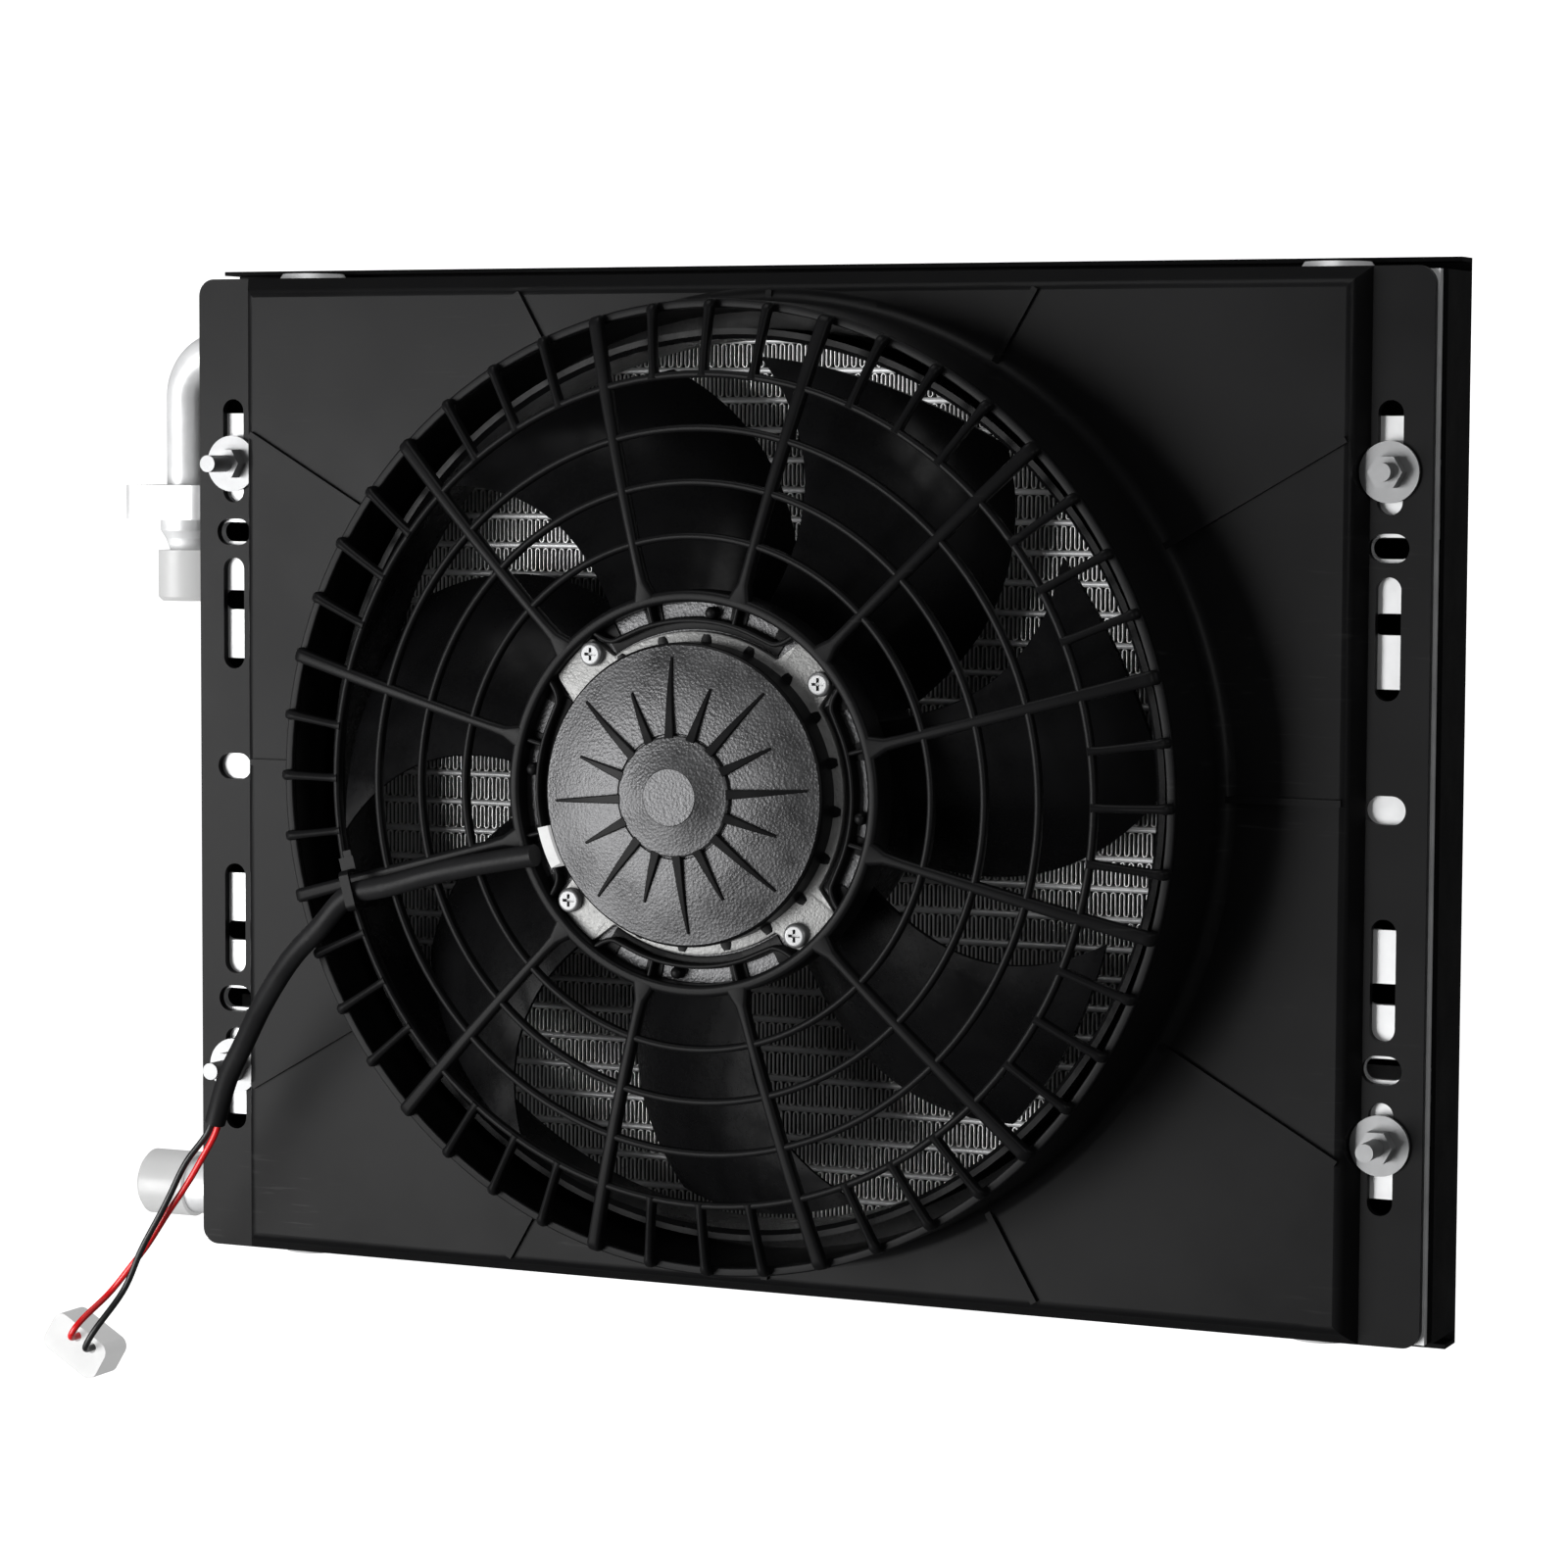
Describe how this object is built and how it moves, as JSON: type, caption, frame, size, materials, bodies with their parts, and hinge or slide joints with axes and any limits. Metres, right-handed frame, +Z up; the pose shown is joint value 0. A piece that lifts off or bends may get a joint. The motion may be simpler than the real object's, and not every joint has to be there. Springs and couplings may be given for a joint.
{
  "type": "fan-cooled hydraulic oil cooler",
  "caption": "Flat tube-and-fin oil cooler with round header tanks, a black fan shroud, a domed finger guard, an electric fan and two side ports.",
  "frame": {"origin": "centre of the shroud flange's front face, on the cooler's vertical centre line", "axes": "+X to the right seen from the fan side, +Y away from the fan side through the core, +Z up"},
  "size_m": [0.5016, 0.1203, 0.3979],
  "materials": {
    "black_moulding": "satin moulded",
    "gloss_black": "gloss moulded",
    "cast_grey": "rough cast",
    "dark_textured": "textured paint",
    "zinc_steel": "bright zinc plated",
    "bare_steel": "machined",
    "bright_aluminium": "rolled bright",
    "black_paint": "satin powder coat",
    "white_nylon": "translucent moulded",
    "sleeve_black": "matt",
    "red_insulation": "satin",
    "black_insulation": "satin",
    "copper": "enamelled copper",
    "tin_brass": "tinned",
    "ferrite": "sintered",
    "carbon": "pressed carbon"
  },
  "bodies": {
    "root": {"fan_shroud": "black_moulding", "throat_ring": "gloss_black", "fan_guard": "black_moulding", "motor_mounting_plate": "cast_grey", "motor_end_cover": "dark_textured", "motor_screws": "zinc_steel", "cable_grommet": "white_nylon", "cable_sleeve": "sleeve_black", "red_lead": "red_insulation", "black_lead": "black_insulation", "connector_housing": "white_nylon", "connector_terminals": "tin_brass", "cable_tie": "black_moulding", "motor_can": "cast_grey", "motor_magnets": "ferrite", "front_bush": "tin_brass", "rear_bush": "tin_brass", "brush_holder": "black_moulding", "brushes": "carbon", "flat_tubes": "bright_aluminium", "cooling_fins": "bright_aluminium", "left_header": "bright_aluminium", "right_header": "bright_aluminium", "header_end_caps": "bright_aluminium", "header_baffles": "bright_aluminium", "top_side_plate": "bright_aluminium", "bottom_side_plate": "bright_aluminium", "left_side_rail": "bright_aluminium", "right_side_rail": "bright_aluminium", "frame_left_channel": "black_paint", "frame_right_channel": "black_paint", "frame_top_channel": "black_paint", "frame_bottom_channel": "black_paint", "core_tie_strips": "bright_aluminium", "frame_rivets": "zinc_steel", "shroud_studs": "zinc_steel", "shroud_washers": "zinc_steel", "shroud_nuts": "zinc_steel", "inlet_pipe": "bright_aluminium", "inlet_block": "bright_aluminium", "inlet_neck": "bright_aluminium", "outlet_spigot": "bright_aluminium"},
    "fan": {"fan_impeller": "gloss_black", "motor_shaft": "bare_steel", "armature_core": "bare_steel", "armature_windings": "copper", "commutator": "copper", "hub_washer": "zinc_steel", "hub_nut": "zinc_steel"},
    "inlet_cap": {"inlet_port_cap": "white_nylon"},
    "outlet_cap": {"outlet_port_cap": "white_nylon"}
  },
  "joints": [
    {"name": "fan_spin", "type": "hinge", "parent": "root", "child": "fan", "pos_m": [0, 0, 0.0024], "axis": [0, -1, 0], "continuous": true},
    {"name": "inlet_cap_pull", "type": "slide", "parent": "root", "child": "inlet_cap", "axis": [0, 0, -1], "range_m": [0, 0.03]},
    {"name": "outlet_cap_pull", "type": "slide", "parent": "root", "child": "outlet_cap", "axis": [-1, 0, 0], "range_m": [0, 0.03]}
  ]
}
